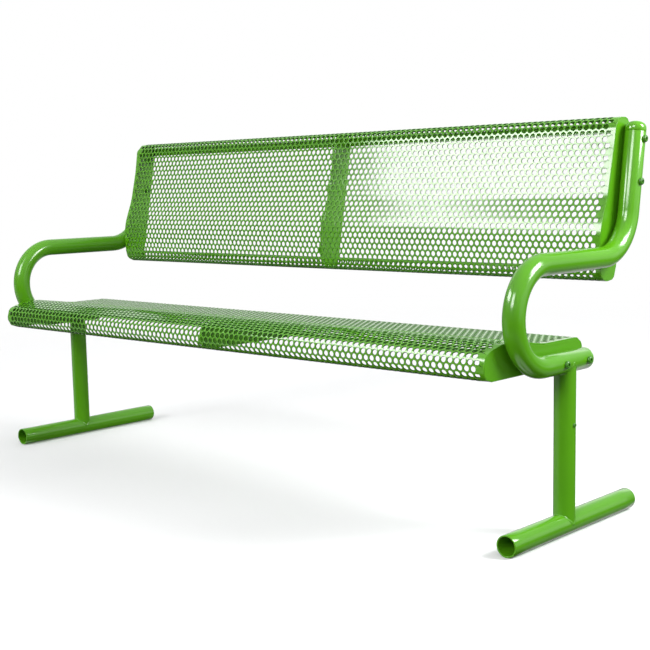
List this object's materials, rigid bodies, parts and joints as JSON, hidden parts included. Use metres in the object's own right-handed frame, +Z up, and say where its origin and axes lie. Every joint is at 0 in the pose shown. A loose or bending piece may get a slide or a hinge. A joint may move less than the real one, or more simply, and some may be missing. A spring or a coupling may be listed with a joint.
{
  "type": "park bench with back and arms",
  "caption": "Long seat for public places: perforated steel seat and back with rolled edges, carried by bent-tube end frames that form the arms, on tubular T legs.",
  "frame": {"origin": "on the floor, at the centre of the bench's length and depth", "axes": "+X along the bench towards the end at the sitter's left, +Y to the rear, +Z up"},
  "size_m": [1.8404, 0.5882, 0.915],
  "materials": {
    "coated_steel": "glossy green plastic coating over steel tube and plate",
    "perforated_sheet": "glossy green plastic coating over perforated steel sheet",
    "fasteners": "green painted steel, less glossy"
  },
  "bodies": {
    "root": {"seat_sheet": "perforated_sheet", "seat_center_rib": "coated_steel", "back_sheet": "perforated_sheet", "back_center_rib": "coated_steel", "frame_tube_right": "coated_steel", "leg_tube_right": "coated_steel", "foot_tube_right": "coated_steel", "seat_tube_cap_right": "coated_steel", "back_tube_cap_right": "coated_steel", "seat_end_plate_right": "coated_steel", "back_end_plate_right": "coated_steel", "frame_tube_left": "coated_steel", "leg_tube_left": "coated_steel", "foot_tube_left": "coated_steel", "seat_tube_cap_left": "coated_steel", "back_tube_cap_left": "coated_steel", "seat_end_plate_left": "coated_steel", "back_end_plate_left": "coated_steel", "seat_bolt_1_right": "fasteners", "seat_washer_1_right": "fasteners", "seat_nut_1_right": "fasteners", "seat_bolt_2_right": "fasteners", "seat_washer_2_right": "fasteners", "seat_nut_2_right": "fasteners", "back_bolt_1_right": "fasteners", "back_washer_1_right": "fasteners", "back_nut_1_right": "fasteners", "back_bolt_2_right": "fasteners", "back_washer_2_right": "fasteners", "back_nut_2_right": "fasteners", "leg_screw_right": "fasteners", "seat_bolt_1_left": "fasteners", "seat_washer_1_left": "fasteners", "seat_nut_1_left": "fasteners", "seat_bolt_2_left": "fasteners", "seat_washer_2_left": "fasteners", "seat_nut_2_left": "fasteners", "back_bolt_1_left": "fasteners", "back_washer_1_left": "fasteners", "back_nut_1_left": "fasteners", "back_bolt_2_left": "fasteners", "back_washer_2_left": "fasteners", "back_nut_2_left": "fasteners", "leg_screw_left": "fasteners"}
  },
  "joints": []
}
